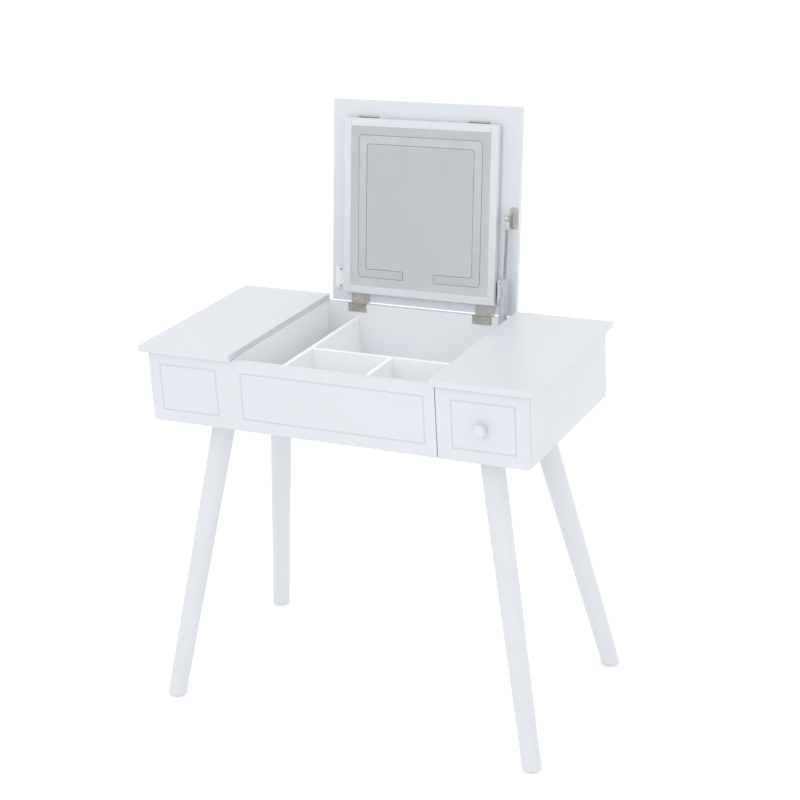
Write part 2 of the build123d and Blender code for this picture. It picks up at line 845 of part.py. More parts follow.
def drawer_front():
    """The overlay front with its grooved field, and the hole for the knob screw."""
    y0, y1 = drawer_front_y - board, drawer_front_y
    panel = eased(block(drawer_left, case_side, y0, y1, case_bottom, under_top - drawer_top_gap))
    field_right = case_side - groove_margin
    panel -= field_groove(field_right - side_field_width, field_right, field_bottom, field_top, y0)
    hole = knob_screw_radius + fastener_gap
    return panel - rod_along((drawer_middle, y1, knob_z), (0, -1, 0), hole, -1, board + 1)


def drawer_bottom_sheet(grow):
    """The drawer's bottom sheet, or with grow above 0 the grooves that it needs."""
    x0 = drawer_outer_left + drawer_board - drawer_groove_depth - grow
    x1 = drawer_outer_right - drawer_board + drawer_groove_depth + grow
    return block(x0, x1, drawer_front_y, drawer_back_y, drawer_floor_z - grow, drawer_floor_top + grow)


def drawer_side(x0):
    side = block(x0, x0 + drawer_board, drawer_front_y, drawer_back_y, drawer_side_bottom, drawer_side_top)
    return side - drawer_bottom_sheet(fastener_gap)


def drawer_back():
    x0, x1 = drawer_outer_left + drawer_board, drawer_outer_right - drawer_board
    return block(x0, x1, drawer_back_y - drawer_board, drawer_back_y, drawer_floor_top, drawer_side_top)


def knob():
    """A turned mushroom knob with a flat seat."""
    rim = knob_length - knob_dome
    dome_radius = (knob_radius**2 + knob_dome**2) / (2 * knob_dome)
    half_turn = asin(knob_radius / dome_radius) / 2
    dome_middle = (dome_radius * sin(half_turn), knob_length - dome_radius * (1 - cos(half_turn)))
    flare_middle = (knob_radius * 0.9, (knob_neck_length + rim) / 2)
    foot = (knob_neck_radius + 2, 0)
    neck = (knob_neck_radius, knob_neck_length)
    outline = Polyline((0, knob_length), (0, 0), foot, (knob_neck_radius, 3), neck)
    flare = ThreePointArc(neck, flare_middle, (knob_radius, rim))
    dome = ThreePointArc((knob_radius, rim), dome_middle, (0, knob_length))
    profile = make_face([*outline.edges(), flare, dome])
    turned = revolve(Plane.XZ * profile, Axis.Z)
    seat = Plane(origin=(drawer_middle, drawer_front_y - board, knob_z), z_dir=(0, -1, 0))
    bore = knob_screw_radius + fastener_gap
    return seat * (turned - Pos(0, 0, 5) * Cylinder(bore, 10 + 2 * fastener_gap))


def knob_screw():
    """The machine screw that holds the knob from inside the drawer."""
    point = (drawer_middle, drawer_front_y, knob_z)
    return screw(point, (0, -1, 0), knob_screw_radius, plate_screw_head_radius, board + 10)


def mirrored_in_bay(piece):
    """The same piece on the bay's other side."""
    middle = (bay_inner + inner_side) / 2
    return mirror(piece, about=Plane(origin=(middle, 0, 0), z_dir=(1, 0, 0)))


def cabinet_runner():
    """A C-shaped rail on the partition, cut away in front for its roller's axle."""
    x0, web = bay_inner, bay_inner + runner_sheet
    x1 = bay_inner + runner_flange
    y0, y1 = inner_front + 2, inner_front + 2 + drawer_length - 4
    rail = block(x0, web, y0, y1, runner_base, runner_top)
    rail += block(x0, x1, y0, y1, runner_base, runner_base + runner_sheet)
    clear_of_roller = front_roller_y + front_roller_radius + 4
    rail += block(x0, x1, clear_of_roller, y1, runner_top - runner_sheet, runner_top)
    axle_end = web + roller_width + 2 * roller_gap + 1
    axle = bar_x(roller_axle_radius, x0, axle_end, front_roller_y, front_roller_z)
    return rail + axle


def drawer_runner():
    """An angle on the drawer's side whose flange rides on the front roller."""
    x1 = drawer_outer_left
    web = x1 - runner_sheet
    x0 = bay_inner + 2 * runner_sheet
    y0, y1 = drawer_front_y + 2, drawer_back_y
    rail = block(web, x1, y0, y1, rear_roller_z - rear_roller_radius, drawer_flange_bottom + runner_sheet)
    rail += block(x0, x1, y0, y1, drawer_flange_bottom, drawer_flange_bottom + runner_sheet)
    axle_end = bay_inner + runner_sheet + roller_gap
    return rail + bar_x(roller_axle_radius, axle_end, x1, rear_roller_y, rear_roller_z)


def roller(radius, x0, y, z):
    """A nylon roller with a running bore."""
    wheel = bar_x(radius, x0, x0 + roller_width, y, z)
    return wheel - bar_x(roller_axle_radius + running_gap, x0 - 1, x0 + roller_width + 1, y, z)


def pair_in_bay(piece):
    return [piece, mirrored_in_bay(piece)]


# ---- Pieces ------------------------------------------------------------------


def make_case_pieces():
    pieces = {
        "left_top": table_top(-1),
        "right_top": table_top(1),
        "front_panel": front_panel(),
        "back_panel": back_panel(),
        "left_side": upright(-1, inner_side, case_bottom),
        "right_side": upright(1, inner_side, case_bottom),
        "left_partition": left_partition(),
        "right_partition": right_partition(),
        "bottom_panel": bottom_panel(),
        "long_divider": long_divider(),
        "cross_divider": cross_divider(),
        "short_divider": short_divider(),
        "foot_glides": foot_glides(),
        "leg_plates": leg_plates(),
        "leg_bolts": leg_bolts(),
        "leg_plate_screws": screws_at(
            leg_plate_screw_sites(), plate_screw_radius, plate_screw_head_radius, plate_screw_length
        ),
        "case_dowels": dowels(),
        "hinge_case_leaves": [hinge_case_leaf(centre) for centre in hinge_centres],
        "hinge_pins": hinge_pins(),
        "case_fitting_screws": screws_at(case_screw_sites()),
        "strut_case_bracket": strut_case_bracket(),
        "cabinet_runners": pair_in_bay(cabinet_runner()),
    }
    for name, (side, end) in leg_corners.items():
        pieces[name] = leg(side, end)
    return pieces


def make_lid_pieces():
    """The pieces that move with the lid, still drawn closed."""
    backing_inset = rebate_inset + glazing_gap
    light_inset = backing_inset + led_strip_thickness + fastener_gap
    return {
        "lid_panel": lid_panel(),
        "hinge_lid_leaves": [hinge_lid_leaf(centre) for centre in hinge_centres],
        "lid_fitting_screws": lid_hinge_screws() + screws_at(strut_lid_screw_sites()),
        "strut_lid_bracket": strut_lid_bracket(),
        "mirror_left_stile": mirror_stile(-1),
        "mirror_right_stile": mirror_stile(1),
        "mirror_bottom_rail": mirror_cross_rail(mirror_near),
        "mirror_top_rail": mirror_cross_rail(mirror_far - mirror_rail),
        "mirror_glass": mirror_layer(backing_inset, glass_back, glass_face),
        "light_guide": mirror_layer(light_inset, light_guide_back, glass_back),
        "led_strip": led_strip(),
        "mirror_backing": mirror_layer(backing_inset, backing_back, light_guide_back),
        "touch_board": touch_board(),
        "mirror_hinge_lid_leaves": mirror_hinge_lid_leaves(),
        "mirror_hinge_frame_leaves": mirror_hinge_frame_leaves(),
        "mirror_hinge_pins": mirror_hinge_pins(),
        "catch_bodies": catch_bodies(),
        "catch_screws": screws_at(catch_screw_sites(), length=catch_screw_length),
        "strike_plates": strike_plates(),
    }


def make_strut_pieces():
    return {
        "strut_rod": strut_rod(),
        "strut_rod_end_fitting": strut_rod_end_fitting(),
        "strut_tube": strut_tube(),
        "strut_tube_end_fitting": strut_tube_end_fitting(),
    }


def make_drawer_pieces():
    front_roller_x = bay_inner + runner_sheet + roller_gap
    rear_roller_x = front_roller_x + roller_gap
    front_wheel = roller(front_roller_radius, front_roller_x, front_roller_y, front_roller_z)
    rear_wheel = roller(rear_roller_radius, rear_roller_x, rear_roller_y, rear_roller_z)
    return {
        "drawer_front": drawer_front(),
        "drawer_left_side": drawer_side(drawer_outer_left),
        "drawer_right_side": drawer_side(drawer_outer_right - drawer_board),
        "drawer_back": drawer_back(),
        "drawer_bottom": drawer_bottom_sheet(0),
        "drawer_runners": pair_in_bay(drawer_runner()),
        "knob": knob(),
        "knob_screw": knob_screw(),
        "front_rollers": pair_in_bay(front_wheel),
        "rear_rollers": pair_in_bay(rear_wheel),
    }


def as_shape(piece):
    """One shape to write, from a solid or from a list of separate solids."""
    pieces = piece if isinstance(piece, list) else [piece]
    solids = [solid for each in pieces for solid in each.solids()]
    return solids[0] if len(solids) == 1 else Compound(solids)


def make_pieces():
    """Every piece at rest, with the lid open, before the shift to the origin."""
    pieces = {name: as_shape(piece) for name, piece in make_case_pieces().items()}
    for name, piece in make_lid_pieces().items():
        pieces[name] = open_lid * as_shape(piece)
    for group in (make_strut_pieces(), make_drawer_pieces()):
        pieces.update({name: as_shape(piece) for name, piece in group.items()})
    return pieces


def middle_depth(pieces):
    """Y of the middle of the whole table, lid open."""
    boxes = [piece.bounding_box() for piece in pieces.values()]
    return (min(box.min.Y for box in boxes) + max(box.max.Y for box in boxes)) / 2


pieces = make_pieces()
origin_y = middle_depth(pieces)

os.makedirs("parts", exist_ok=True)
for name, piece in pieces.items():
    export_step(Pos(0, -origin_y, 0) * piece, f"parts/{name}.step")
print(f"{len(pieces)} pieces, origin {origin_y:.3f} mm behind the middle of the tops")
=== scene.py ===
"""Vanity table with a lift-up mirror lid: its finishes, its etched mirror and a plain studio."""

import json
import math

import bpy
from bpy.props import FloatProperty, FloatVectorProperty, PointerProperty
from mathutils import Matrix, Vector


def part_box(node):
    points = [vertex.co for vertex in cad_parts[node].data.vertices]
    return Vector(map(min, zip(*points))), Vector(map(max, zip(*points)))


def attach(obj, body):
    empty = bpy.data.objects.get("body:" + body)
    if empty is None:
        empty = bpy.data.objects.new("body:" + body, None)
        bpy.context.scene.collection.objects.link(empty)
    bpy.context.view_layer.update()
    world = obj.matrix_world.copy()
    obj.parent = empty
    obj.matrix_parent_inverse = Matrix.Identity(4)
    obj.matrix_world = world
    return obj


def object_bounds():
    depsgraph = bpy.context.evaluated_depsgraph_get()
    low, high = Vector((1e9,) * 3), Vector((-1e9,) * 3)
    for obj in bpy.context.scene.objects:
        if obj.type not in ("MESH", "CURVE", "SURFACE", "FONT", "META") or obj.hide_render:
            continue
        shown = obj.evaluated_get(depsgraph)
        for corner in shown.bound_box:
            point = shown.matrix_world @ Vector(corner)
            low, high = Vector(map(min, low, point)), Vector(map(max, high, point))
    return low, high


bl_info = {
    "name": "Vanity Table Finishes",
    "version": (1, 0, 0),
    "blender": (4, 5, 0),
    "location": "View3D > Sidebar > Vanity Table",
    "description": "Gives a vanity table its finishes, its etched mirror and a plain studio",
    "category": "Object",
}

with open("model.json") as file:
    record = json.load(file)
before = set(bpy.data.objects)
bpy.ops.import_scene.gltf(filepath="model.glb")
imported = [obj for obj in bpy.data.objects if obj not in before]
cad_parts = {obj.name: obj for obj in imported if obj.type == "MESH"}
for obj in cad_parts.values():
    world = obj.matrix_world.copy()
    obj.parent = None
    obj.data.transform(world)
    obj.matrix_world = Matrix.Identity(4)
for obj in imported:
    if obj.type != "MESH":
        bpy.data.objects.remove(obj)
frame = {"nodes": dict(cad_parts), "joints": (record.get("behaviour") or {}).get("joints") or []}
cad_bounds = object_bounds()

# ---- Fixed sizes, in metres unless said otherwise ----------------------------

# How far in from a board's inner face the lighter colour of painted light reaches, and how far the
# etched band sinks in the glass
painted_light_depth = 0.0005
etch_sunk = 0.00002

# The radius that paint gives the knob's edges
knob_softness = 0.0003

# Straight pieces in each rounded corner of the band, and in the touch mark's ring
corner_steps = 8
mark_steps = 32

# The ring's first angle and its turn, in degrees
mark_start = -60
mark_turn = 300

# The ring's line and the ends of its bar, as shares of the mark's radius
mark_line = 0.22
mark_bar_top = 1.15
mark_bar_bottom = 0.3

# The floor and the backdrop, which meet in a curve
floor_front = -6.0
floor_half_width = 6.0
backdrop_distance = 2.4
backdrop_height = 5.0
curve_radius = 1.2
curve_steps = 16

# The grey card: its middle in X and its Y, and its height as a share of the table's
card_place = (-2.2, -3.9)
card_half_width = 1.6
card_height_share = 1.9


# ---- Settings ----------------------------------------------------------------


def colour(name, description, default):
    return FloatVectorProperty(
        name=name, description=description, default=default,
        size=3, min=0.0, max=1.0, subtype="COLOR",
    )


def share(name, description, default):
    return FloatProperty(
        name=name, description=description, default=default, min=0.0, max=1.0, subtype="FACTOR"
    )


def length(name, description, default):
    return FloatProperty(
        name=name, description=description, default=default, min=0.0, unit="LENGTH", precision=4
    )


class BoardSettings(bpy.types.PropertyGroup):
    """The painted and bare boards of the table."""

    lacquer: colour("Lacquer", "Colour of the outside boards", (0.675, 0.705, 0.745))
    # Inside and the back face below are lighter copies of the one white lacquer: painted light that
    # brightens the well's shaded boards and the back board's inner face
    inside: colour("Inside", "Colour of the boards inside the well", (0.94, 0.955, 0.97))
    back_face_painted_light: colour("Back face", "Colour of the back board's inner face", (0.79, 0.81, 0.84))
    legs: colour("Legs", "Colour of the legs", (0.685, 0.71, 0.745))
    drawer_box: colour("Drawer box", "Foil on the drawer's boards", (0.74, 0.75, 0.75))
    lacquer_roughness: share("Lacquer roughness", "Roughness of the lacquer", 0.36)
    edge_softness: length("Edge softness", "Radius that the lacquer gives sharp edges", 0.0007)


class MetalSettings(bpy.types.PropertyGroup):
    """The hinges, the strut and the screws."""

    nickel: colour("Nickel", "Colour of the nickel-plated hinges", (0.53, 0.505, 0.465))
    strut: colour("Strut", "Colour of the strut's painted tube", (0.46, 0.48, 0.51))
    steel: colour("Steel", "Colour of screws and pins", (0.60, 0.60, 0.59))
    rod: colour("Rod", "Colour of the strut's rod", (0.36, 0.36, 0.37))
    enamel: colour("Enamel", "Colour of the drawer's runners", (0.8, 0.8, 0.78))
    zinc: colour("Zinc", "Colour of the leg plates", (0.58, 0.59, 0.62))
    nickel_roughness: share("Nickel roughness", "Roughness of the nickel plate", 0.34)


class PlasticSettings(bpy.types.PropertyGroup):
    """The catches, glides and rollers."""

    catch: colour("Catch", "Colour of the catches beside the mirror", (0.80, 0.82, 0.85))
    glide: colour("Glide", "Colour of the glides under the feet", (0.62, 0.62, 0.61))
    nylon: colour("Nylon", "Colour of the drawer's rollers", (0.74, 0.73, 0.70))


class MirrorSettings(bpy.types.PropertyGroup):
    """The silvered glass and the band etched on it."""

    silver: colour("Silver", "Tint of the silvered glass", (0.84, 0.86, 0.87))
    frost: colour("Frost", "Colour of the etched band", (0.53, 0.545, 0.55))
    band_edge: colour("Band edge", "Colour of the band's thin border", (0.20, 0.21, 0.215))
    band_margin: length("Band margin", "From the frame to the band", 0.018)
    band_width: length("Band width", "Width of the etched band", 0.016)
    band_gap: length("Band gap", "Clear opening in the band's bottom", 0.068)
    band_radius: length("Band radius", "Radius of the band's outer corners", 0.007)
    border: length("Border", "Width of the band's thin border", 0.0011)
    mark_height: length("Mark height", "From the frame's bottom opening to the touch mark", 0.058)
    mark_radius: length("Mark radius", "Radius of the touch mark", 0.0065)
    etch: length("Etch", "How far the band stands on the glass", 0.00025)


class StageSettings(bpy.types.PropertyGroup):
    """The floor, the light and the camera."""

    floor: colour("Floor", "Colour of the floor and backdrop", (0.80, 0.80, 0.80))
    card: colour("Card", "Colour of the grey card that the mirror faces", (0.60, 0.61, 0.615))
    sky: FloatProperty(
        name="Sky", description="Strength of the light from all round", default=1.06, min=0.0
    )
    glow: FloatProperty(
        name="Glow", description="Strength of the lit backdrop", default=0.22, min=0.0
    )
    key: FloatProperty(
        name="Key", description="Power of the large soft lamp", default=20.0, min=0.0, unit="POWER"
    )
    fill: FloatProperty(
        name="Fill", description="Power of the lamp on the side", default=1.5, min=0.0, unit="POWER"
    )
    eye: FloatVectorProperty(
        name="Eye", description="Where the camera stands", size=3, subtype="XYZ", unit="LENGTH",
        default=(1.4878, -2.8555, 1.8054),
    )
    aim: FloatVectorProperty(
        name="Aim", description="What the camera looks at", size=3, subtype="XYZ", unit="LENGTH",
        default=(0.0449, -0.0230, 0.6067),
    )
    roll: FloatProperty(
        name="Roll", description="Turn of the camera about its own axis", subtype="ANGLE",
        default=math.radians(-3.055),
    )
    lens: FloatProperty(
        name="Lens", description="Focal length on a sensor 36 mm wide", default=80.83, min=1.0
    )


# ---- Shader helpers ----------------------------------------------------------


class Shader:
    """A node material under construction, with short ways to add and join nodes."""

    def __init__(self, name):
        self.material = bpy.data.materials.new(name)
        self.material.use_nodes = True
        self.tree = self.material.node_tree
        self.surface = self.tree.nodes["Principled BSDF"]
        self.place = self.add("ShaderNodeTexCoord").outputs["Object"]

    def add(self, kind, **values):
        """A new node, with its settings or the inputs of those names filled in."""
        node = self.tree.nodes.new(kind)
        for key, value in values.items():
            if hasattr(node, key):
                setattr(node, key, value)
            else:
                node.inputs[key.replace("_", " ").title()].default_value = value
        return node

    def join(self, source, target):
        self.tree.links.new(source, target)

    def stretched(self, scale):
        """Object coordinates, stretched by a scale along each axis."""
        node = self.add("ShaderNodeMapping")
        node.inputs["Scale"].default_value = scale
        self.join(self.place, node.inputs["Vector"])
        return node.outputs["Vector"]

    def noise(self, scale, detail=3.0, vector=None):
        """Noise over the piece, or over other coordinates."""
        node = self.add("ShaderNodeTexNoise", scale=scale, detail=detail)
        self.join(vector or self.place, node.inputs["Vector"])
        return node.outputs["Fac"]

    def spread(self, factor, low, high):
        """The noise's middle range, spread from low to high."""
        node = self.add("ShaderNodeMapRange")
        node.inputs["From Min"].default_value = 0.3
        node.inputs["From Max"].default_value = 0.7
        node.inputs["To Min"].default_value = low
        node.inputs["To Max"].default_value = high
        self.join(factor, node.inputs["Value"])
        return node.outputs["Result"]

    def tint(self, base, factor, low, high):
        """The base colour, darkened and lightened by the noise."""
        node = self.add("ShaderNodeHueSaturation")
        node.inputs["Color"].default_value = (*base, 1.0)
        self.join(self.spread(factor, low, high), node.inputs["Value"])
        self.join(node.outputs["Color"], self.surface.inputs["Base Color"])

    def rough(self, factor, middle, swing):
        """Roughness that swings about a middle value with the noise."""
        low, high = max(middle - swing, 0.0), min(middle + swing, 1.0)
        self.join(self.spread(factor, low, high), self.surface.inputs["Roughness"])

    def bump(self, factor, distance, strength=0.5, edge=0.0):
        """Relief from the noise, with soft edges where an edge radius is given."""
        node = self.add("ShaderNodeBump", strength=strength)
        node.inputs["Distance"].default_value = distance
        self.join(factor, node.inputs["Height"])
        if edge:
            soft = self.add("ShaderNodeBevel", samples=4)
            soft.inputs["Radius"].default_value = edge
            self.join(soft.outputs["Normal"], node.inputs["Normal"])
        self.join(node.outputs["Normal"], self.surface.inputs["Normal"])

    def sprayed(self, roughness, edge):
        """The sheen and the orange peel of sprayed lacquer."""
        self.rough(self.noise(35.0), roughness, 0.05)
        self.bump(self.noise(650.0, 2.0), 0.00006, 0.35, edge)
        self.set(Coat_Weight=0.18, Coat_Roughness=0.22)

    def past(self, second_base, axis, operation, place):
        """A second base colour on one side of a place along an axis."""
        axes = self.add("ShaderNodeSeparateXYZ")
        self.join(self.place, axes.inputs["Vector"])
        test = self.add("ShaderNodeMath", operation=operation)
        test.inputs[1].default_value = place
        self.join(axes.outputs[axis], test.inputs[0])
        mix = self.add("ShaderNodeMix", data_type="RGBA")
        self.join(test.outputs["Value"], mix.inputs["Factor"])
        socket = self.surface.inputs["Base Color"]
        self.join(socket.links[0].from_socket, mix.inputs["A"])
        mix.inputs["B"].default_value = (*second_base, 1.0)
        self.join(mix.outputs["Result"], socket)

    def set(self, **values):
        """Fills in the surface's own inputs."""
        for key, value in values.items():
            self.surface.inputs[key.replace("_", " ")].default_value = value


def lacquer(name, base, roughness, edge):
    """Sprayed paint: faint unevenness, fine orange peel and soft edges."""
    s = Shader(name)
    s.tint(base, s.noise(5.0), 0.985, 1.012)
    s.sprayed(roughness, edge)
    return s.material


def lacquer_with_painted_light_face(name, base, painted_light_base, axis, test, place, roughness, edge):
    """Sprayed paint, lighter on the face that is past a place along an axis: painted light for a
    face in shade.
    """
    s = Shader(name)
    s.tint(base, s.noise(5.0), 0.985, 1.012)
    # Painted light: the face past the place gets the lighter colour
    s.past(painted_light_base, axis, test, place)
    s.sprayed(roughness, edge)
    return s.material


def turned_paint(name, base, roughness):
    """Paint on turned wood, with the grain just showing along its length."""
    s = Shader(name)
    s.tint(base, s.noise(9.0), 0.975, 1.015)
    s.rough(s.noise(45.0), roughness, 0.06)
    s.bump(s.noise(220.0, 4.0, s.stretched((1.0, 1.0, 0.05))), 0.00012, 0.4)
    return s.material


def foil(name, base):
    """Thin printed foil on board, with faint pores."""
    s = Shader(name)
    s.tint(base, s.noise(60.0, 5.0, s.stretched((1.0, 0.08, 1.0))), 0.965, 1.02)
    s.rough(s.noise(80.0), 0.48, 0.06)
    s.bump(s.noise(420.0, 3.0, s.stretched((1.0, 0.1, 1.0))), 0.00005, 0.4, 0.0004)
    return s.material


def bare_wood(name, base, grain):
    """Uncoated wood or hardboard, with its fibres along one axis."""
    s = Shader(name)
    fibres = s.noise(180.0, 6.0, s.stretched(grain))
    s.tint(base, fibres, 0.78, 1.15)
    s.rough(s.noise(150.0), 0.72, 0.08)
    s.bump(fibres, 0.0002, 0.5)
    return s.material


def plated(name, base, roughness, grain=(1.0, 14.0, 14.0)):
    """Brushed and plated metal, with fine lines and a few handling marks."""
    s = Shader(name)
    lines = s.noise(320.0, 4.0, s.stretched(grain))
    s.tint(base, s.noise(75.0, 4.0), 0.86, 1.12)
    s.rough(lines, roughness, 0.1)
    s.bump(lines, 0.00004, 0.3, 0.0002)
    s.set(Metallic=1.0)
    return s.material


def painted_metal(name, base, roughness):
    """Smooth enamel on metal."""
    s = Shader(name)
    s.tint(base, s.noise(50.0), 0.95, 1.05)
    s.rough(s.noise(120.0), roughness, 0.06)
    s.bump(s.noise(900.0, 2.0), 0.00003, 0.3, 0.0002)
    s.set(Metallic=0.25, Coat_Weight=0.3, Coat_Roughness=0.15)
    return s.material


def moulded(name, base, roughness, through=0.0):
    """Moulded plastic with a fine spark texture."""
    s = Shader(name)
    s.tint(base, s.noise(40.0), 0.96, 1.02)
    s.rough(s.noise(200.0), roughness, 0.07)
    s.bump(s.noise(1400.0, 2.0), 0.00004, 0.4, 0.0004)
    s.set(Transmission_Weight=through, IOR=1.49)
    return s.material


def silvered(name, base):
    """Silvered glass with a very faint haze from wiping."""
    s = Shader(name)
    s.tint(base, s.noise(3.0, 2.0), 0.985, 1.01)
    s.rough(s.noise(7.0, 5.0, s.stretched((1.0, 1.0, 3.0))), 0.03, 0.02)
    s.set(Metallic=1.0, Coat_Weight=0.35, Coat_Roughness=0.03)
    return s.material


def etched(name, base, roughness, shine):
    """Glass etched to a fine frost."""
    s = Shader(name)
    s.tint(base, s.noise(25.0), 0.96, 1.04)
    s.rough(s.noise(300.0), roughness, 0.06)
    s.bump(s.noise(2200.0, 2.0), 0.00003, 0.4)
    s.set(Metallic=shine)
    return s.material


def lamps(name, base):
    """A flexible strip with a row of small lamps, unlit."""
    s = Shader(name)
    bands = s.add("ShaderNodeTexWave", scale=60.0, distortion=0.0)
    s.join(s.place, bands.inputs["Vector"])
    s.tint(base, bands.outputs["Fac"], 0.7, 1.1)
    s.rough(s.noise(90.0), 0.45, 0.08)
    return s.material


def circuit(name, base):
    """Coated circuit board with faint tracks."""
    s = Shader(name)
    tracks = s.add("ShaderNodeTexVoronoi", scale=320.0)
    tracks.distance = "MANHATTAN"
    s.join(s.place, tracks.inputs["Vector"])
    s.tint(base, tracks.outputs["Distance"], 0.7, 1.5)
    s.rough(s.noise(90.0), 0.35, 0.08)
    return s.material


# ---- Mesh helpers ------------------------------------------------------------


def dress(material, *names):
    """Puts one finish on whole pieces, for good."""
    for name in names:
        if name not in frame["nodes"]:
            raise RuntimeError(f"there is no piece named {name}")
        mesh = frame["nodes"][name].data
        mesh.materials.clear()
        mesh.materials.append(material)


def closing():
    """The turn that closes the lid, taken from its joint."""
    joint = next(j for j in frame["joints"] if j["name"] == "lid_hinge")
    pin = Matrix.Translation(Vector(joint["pos_m"]))
    turn = Matrix.Rotation(math.radians(joint["range_deg"][1]), 4, Vector(joint["axis"]))
    return pin @ turn @ pin.inverted()


def closed_box(name):
    """Lowest and highest corner of a piece of the lid, with the lid closed."""
    shut = closing()
    points = [shut @ vertex.co for vertex in frame["nodes"][name].data.vertices]
    low = Vector([min(p[i] for p in points) for i in range(3)])
    high = Vector([max(p[i] for p in points) for i in range(3)])
    return low, high


def on_glass(name, inner, outer, face, height, material, slot):
    """A thin strip between two outlines of equal length, on the open lid's glass."""
    count = len(inner)
    vertices = []
    for depth in (face + etch_sunk, face - height):
        vertices += [(x, y, depth) for x, y in inner]
        vertices += [(x, y, depth) for x, y in outer]
    back_in, back_out, front_in, front_out = 0, count, 2 * count, 3 * count
    faces = []
    for a in range(count - 1):
        b = a + 1
        faces.append((front_in + a, front_in + b, front_out + b, front_out + a))
        faces.append((back_in + a, back_out + a, back_out + b, back_in + b))
        faces.append((back_in + a, back_in + b, front_in + b, front_in + a))
        faces.append((back_out + a, front_out + a, front_out + b, back_out + b))
    for end in (0, count - 1):
        faces.append((back_in + end, front_in + end, front_out + end, back_out + end))
    mesh = bpy.data.meshes.new(name)
    mesh.from_pydata(vertices, [], faces)
    mesh.transform(closing().inverted())
    mesh.update()
    mesh.materials.append(material)
    piece = bpy.data.objects.new(name, mesh)
    bpy.context.scene.collection.objects.link(piece)
    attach(piece, "lid")


def band_outline(x0, x1, near, far, radius, gap, middle):
    """A rounded rectangle from one side of the gap in its near edge round to the other."""
    points = [(middle - gap / 2, near)]
    corners = (
        (x0 + radius, near - radius, 90),
        (x0 + radius, far + radius, 180),
        (x1 - radius, far + radius, 270),
        (x1 - radius, near - radius, 0),
    )
    for cx, cy, start in corners:
        for step in range(corner_steps + 1):
            angle = math.radians(start + 90 * step / corner_steps)
            points.append((cx + radius * math.cos(angle), cy + radius * math.sin(angle)))
    points.append((middle + gap / 2, near))
    return points


# ---- Operators ---------------------------------------------------------------


class VANITY_OT_boards(bpy.types.Operator):
    """Lacquer the outside boards: the tops, the case, the lid and the drawer's front"""

    bl_idname = "vanity.boards"
    bl_label = "Outside Boards"

    def execute(self, context):
        s = context.scene.vanity_boards
        paint = lacquer("white_lacquer", s.lacquer, s.lacquer_roughness, s.edge_softness)
        dress(paint, "left_top", "right_top", "front_panel", "left_side", "right_side")
        dress(paint, "lid_panel", "drawer_front")
        return {"FINISHED"}


class VANITY_OT_well(bpy.types.Operator):
    """Lacquer the well's walls, floor and dividers, and the back board; inside the well a lighter
    copy of the lacquer is painted light against the well's shade
    """

    bl_idname = "vanity.well"
    bl_label = "Well"

    def execute(self, context):
        s = context.scene.vanity_boards
        finish = (s.lacquer_roughness + 0.08, s.edge_softness)
        # Painted light: the partitions and dividers get a lighter copy of the lacquer all over,
        # standing in for light that the shaded well lacks
        paint = lacquer("well_lacquer", s.inside, *finish)
        dress(paint, "left_partition", "right_partition")
        dress(paint, "long_divider", "cross_divider", "short_divider")
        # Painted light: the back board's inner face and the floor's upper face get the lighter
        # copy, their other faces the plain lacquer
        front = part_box("back_panel")[0].y + painted_light_depth
        back = lacquer_with_painted_light_face(
            "back_painted_light_lacquer", s.lacquer, s.back_face_painted_light, "Y", "LESS_THAN", front, *finish
        )
        dress(back, "back_panel")
        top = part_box("bottom_panel")[1].z - painted_light_depth
        floor = lacquer_with_painted_light_face(
            "floor_painted_light_lacquer", s.lacquer, s.inside, "Z", "GREATER_THAN", top, *finish
        )
        dress(floor, "bottom_panel")
        return {"FINISHED"}


class VANITY_OT_legs(bpy.types.Operator):
    """Paint the four legs and colour their glides"""

    bl_idname = "vanity.legs"
    bl_label = "Legs"

    def execute(self, context):
        s = context.scene
        boards = s.vanity_boards
        paint = turned_paint("leg_paint", boards.legs, boards.lacquer_roughness + 0.06)
        dress(paint, "front_left_leg", "front_right_leg", "back_left_leg", "back_right_leg")
        dress(moulded("glide_plastic", s.vanity_plastics.glide, 0.6), "foot_glides")
        return {"FINISHED"}


class VANITY_OT_leg_fittings(bpy.types.Operator):
    """Plate the leg plates, their bolts and the strike plates, and colour the dowels"""

    bl_idname = "vanity.leg_fittings"
    bl_label = "Leg Fittings"

    def execute(self, context):
        s = context.scene.vanity_metals
        dress(plated("zinc_plate", s.zinc, 0.42), "leg_plates", "leg_bolts", "strike_plates")
        dress(bare_wood("beech_dowel", (0.62, 0.45, 0.28), (1.0, 1.0, 0.1)), "case_dowels")
        return {"FINISHED"}


class VANITY_OT_hinges(bpy.types.Operator):
    """Plate the lid's hinges and the mirror's small hinges"""

    bl_idname = "vanity.hinges"
    bl_label = "Hinges"

    def execute(self, context):
        s = context.scene.vanity_metals
        nickel = plated("hinge_nickel", s.nickel, s.nickel_roughness)
        dress(nickel, "hinge_case_leaves", "hinge_lid_leaves")
        dress(nickel, "mirror_hinge_lid_leaves", "mirror_hinge_frame_leaves")
        return {"FINISHED"}


class VANITY_OT_screws(bpy.types.Operator):
    """Finish the screws and the hinge pins"""

    bl_idname = "vanity.screws"
    bl_label = "Screws and Pins"

    def execute(self, context):
        steel = plated("screw_steel", context.scene.vanity_metals.steel, 0.3)
        dress(steel, "hinge_pins", "mirror_hinge_pins", "case_fitting_screws", "lid_fitting_screws")
        dress(steel, "knob_screw", "catch_screws", "leg_plate_screws")
        return {"FINISHED"}


